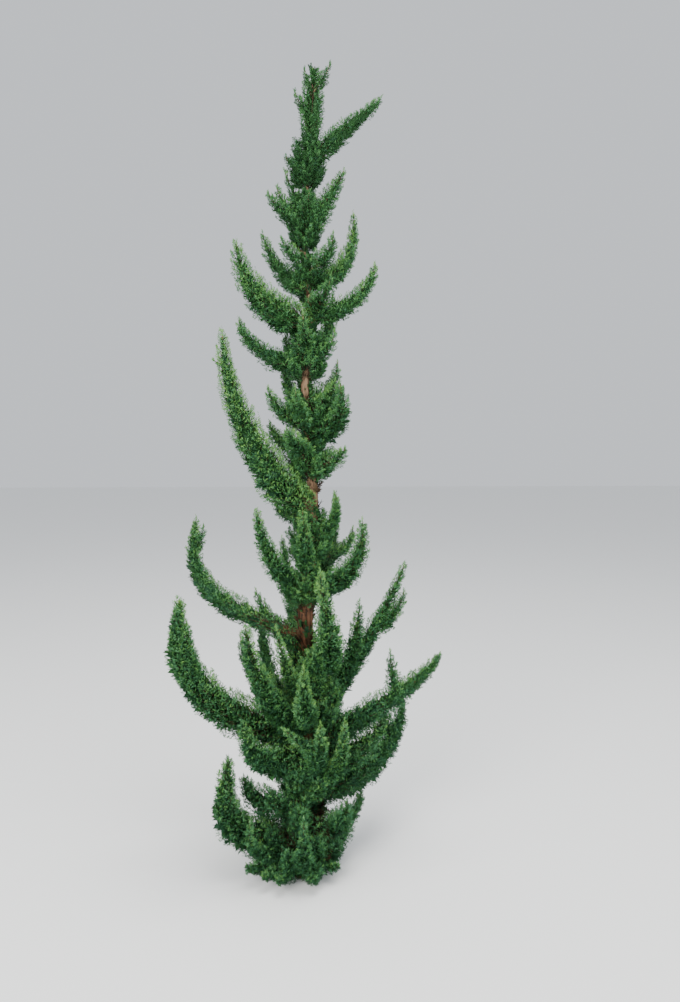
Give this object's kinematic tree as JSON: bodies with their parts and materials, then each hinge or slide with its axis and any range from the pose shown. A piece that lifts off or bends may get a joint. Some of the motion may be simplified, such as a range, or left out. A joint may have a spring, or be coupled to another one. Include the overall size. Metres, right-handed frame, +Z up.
{
  "type": "lawson cypress tree",
  "caption": "Young lawson cypress, a slender evergreen with a straight leader, dense upswept plumes of fine flat sprays and bare trunk between them, rooted in level ground",
  "frame": {"origin": "middle of the flat cut under the trunk, at ground level", "axes": "+Z up the trunk, +X to the right as pictured, -Y towards the viewer"},
  "size_m": [0.9951, 0.7607, 3.0007],
  "materials": {
    "trunk_bark": "fibrous red-brown bark in vertical ridges, matt",
    "bough_bark": "thin red-brown bark, matt",
    "foliage": "fine flat sprays of scale leaves, mid to deep green, lighter at the tips, slightly waxy"
  },
  "bodies": {
    "root": {"trunk": "trunk_bark", "bough_right_6": "bough_bark", "bough_right_7": "bough_bark", "bough_right_8": "bough_bark", "bough_left_4": "bough_bark", "bough_left_6": "bough_bark", "bough_left_8": "bough_bark", "bough_left_9": "bough_bark", "bough_left_11": "bough_bark", "mass_right_1": "foliage", "mass_right_2": "foliage", "mass_right_3": "foliage", "mass_right_4": "foliage", "mass_right_5": "foliage", "mass_right_6_low": "foliage", "mass_right_6_high": "foliage", "mass_right_7_low": "foliage", "mass_right_7_high": "foliage", "mass_right_8": "foliage", "mass_left_1_low": "foliage", "mass_left_1_high": "foliage", "mass_left_2": "foliage", "mass_left_3": "foliage", "mass_left_4_low": "foliage", "mass_left_4_high": "foliage", "mass_left_5": "foliage", "mass_left_6_low": "foliage", "mass_left_6_high": "foliage", "mass_left_7": "foliage", "mass_left_8": "foliage", "mass_left_9_low": "foliage", "mass_left_9_high": "foliage", "mass_left_10": "foliage", "mass_left_11": "foliage", "mass_front_1": "foliage", "mass_front_2": "foliage", "mass_back_1": "foliage", "mass_back_2": "foliage", "mass_back_3": "foliage", "mass_back_4": "foliage", "mass_back_5": "foliage", "mass_back_6": "foliage", "mass_back_7": "foliage", "mass_back_8": "foliage", "mass_back_9": "foliage", "mass_back_10": "foliage", "mass_leader": "foliage", "mass_collar_1": "foliage", "mass_collar_2": "foliage", "mass_collar_3": "foliage", "mass_collar_4": "foliage", "mass_collar_5": "foliage", "mass_collar_6": "foliage", "mass_collar_7": "foliage", "mass_collar_8": "foliage", "mass_collar_9": "foliage", "mass_collar_10": "foliage", "mass_collar_11": "foliage"}
  },
  "joints": []
}
